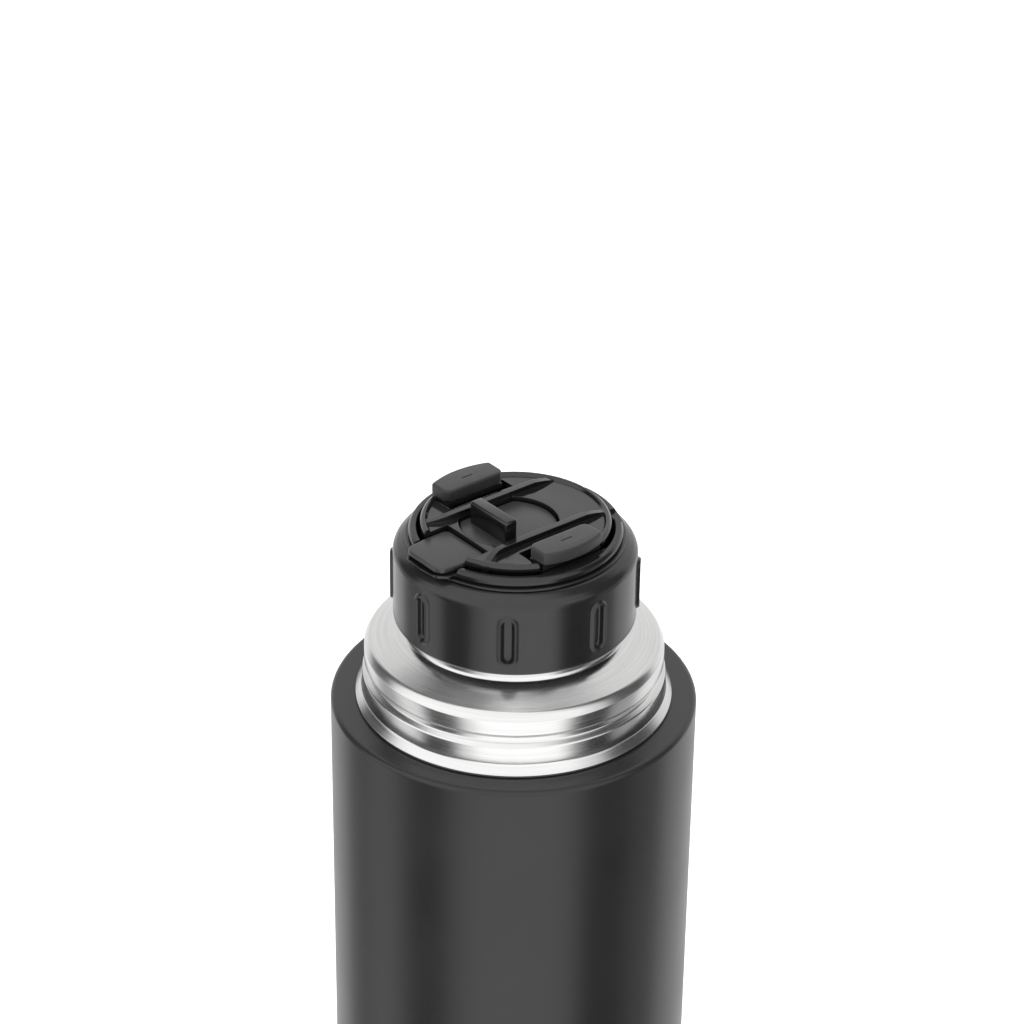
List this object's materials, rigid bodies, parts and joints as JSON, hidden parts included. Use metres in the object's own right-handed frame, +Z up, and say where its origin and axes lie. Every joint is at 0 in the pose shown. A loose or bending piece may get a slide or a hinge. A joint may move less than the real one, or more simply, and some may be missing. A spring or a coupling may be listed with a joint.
{
  "type": "vacuum flask",
  "caption": "Black double-walled steel vacuum flask with a screw-in stopper: ribbed collar, pouring spout, tapered gasket, press-open valve and a lift-out cover with side latch buttons.",
  "frame": {"origin": "centre of the underside, at the middle of the bounding box's bottom face", "axes": "+Z up along the flask's axis, -Y towards the pouring spout, +X towards the right-hand latch button"},
  "size_m": [0.086, 0.086, 0.2839],
  "materials": {
    "outer_shell": "satin black powder coat with a fine even grain",
    "shoulder_neck": "bare steel, brushed round the axis",
    "inner_liner": "steel brushed inside, polished at the lip",
    "liner_base": "plain steel",
    "foil_shield": "bright wrinkled foil",
    "getter": "dull sintered capsule",
    "outer_base": "plain steel",
    "vacuum_seal": "dull grey stud",
    "base_cap": "matte black",
    "plug_gasket": "matte dark grey silicone",
    "plug_body": "glossy black",
    "collar_snap_ring": "glossy black",
    "grip_collar": "soft gloss black",
    "valve_guide": "semi-matte white",
    "valve_stem": "plain steel",
    "valve_boot": "black rubber",
    "valve_disc": "matte dark grey silicone",
    "valve_spring": "spring steel",
    "cover_shell": "high gloss black",
    "spout_tongue": "satin dark grey",
    "pour_key": "glossy black",
    "right_latch": "soft gloss black",
    "right_button_pad": "matte dark grey, fine grain",
    "right_latch_pin": "plain steel",
    "right_latch_spring": "spring steel",
    "left_latch": "soft gloss black",
    "left_button_pad": "matte dark grey, fine grain",
    "left_latch_pin": "plain steel",
    "left_latch_spring": "spring steel"
  },
  "bodies": {
    "flask": {"outer_shell": "outer_shell", "shoulder_neck": "shoulder_neck", "inner_liner": "inner_liner", "liner_base": "liner_base", "foil_shield": "foil_shield", "getter": "getter", "outer_base": "outer_base", "vacuum_seal": "vacuum_seal", "base_cap": "base_cap"},
    "gasket": {"plug_gasket": "plug_gasket"},
    "plug": {"plug_body": "plug_body", "collar_snap_ring": "collar_snap_ring", "valve_guide": "valve_guide", "valve_spring": "valve_spring"},
    "collar": {"grip_collar": "grip_collar"},
    "valve": {"valve_stem": "valve_stem", "valve_boot": "valve_boot", "valve_disc": "valve_disc"},
    "cover": {"cover_shell": "cover_shell", "spout_tongue": "spout_tongue", "right_latch_pin": "right_latch_pin", "left_latch_pin": "left_latch_pin", "right_latch_spring": "right_latch_spring", "left_latch_spring": "left_latch_spring"},
    "key": {"pour_key": "pour_key"},
    "right_latch": {"right_latch": "right_latch", "right_button_pad": "right_button_pad"},
    "left_latch": {"left_latch": "left_latch", "left_button_pad": "left_button_pad"}
  },
  "joints": [
    {"name": "stopper_lift", "type": "slide", "parent": "flask", "child": "gasket", "axis": [0, 0, 1], "range_m": [0, 0.0498]},
    {"name": "stopper_rise", "type": "slide", "parent": "gasket", "child": "plug", "axis": [0, 0, 1], "range_m": [0, 0.027]},
    {"name": "collar_turn", "type": "hinge", "parent": "plug", "child": "collar", "pos_m": [0, 0, 0.2546], "axis": [0, 0, 1], "range_deg": [0, 1350]},
    {"name": "cover_lift", "type": "slide", "parent": "plug", "child": "cover", "axis": [0, 0, 1], "range_m": [0, 0.0336]},
    {"name": "pour_key", "type": "slide", "parent": "cover", "child": "key", "axis": [0, 0, 1], "range_m": [-0.0025, 0], "stiffness_N_per_m": 800, "springref_m": 0.0005},
    {"name": "valve_open", "type": "slide", "parent": "plug", "child": "valve", "axis": [0, 0, 1], "range_m": [-0.0025, 0], "deforming": ["valve_spring"]},
    {"name": "right_latch", "type": "hinge", "parent": "cover", "child": "right_latch", "pos_m": [0.0164, 0, 0.2668], "axis": [0, 1, 0], "range_deg": [-7, 0], "stiffness_Nm_per_rad": 0.05, "springref_deg": 2.86, "deforming": ["right_latch_spring"]},
    {"name": "left_latch", "type": "hinge", "parent": "cover", "child": "left_latch", "pos_m": [-0.0164, 0, 0.2668], "axis": [0, -1, 0], "range_deg": [-7, 0], "stiffness_Nm_per_rad": 0.05, "springref_deg": 2.86, "deforming": ["left_latch_spring"]}
  ],
  "couplings": [
    {"joint": "collar_turn", "follows": "stopper_rise", "rad_per_m": 872.66},
    {"joint": "valve_open", "follows": "pour_key", "ratio": 1}
  ]
}
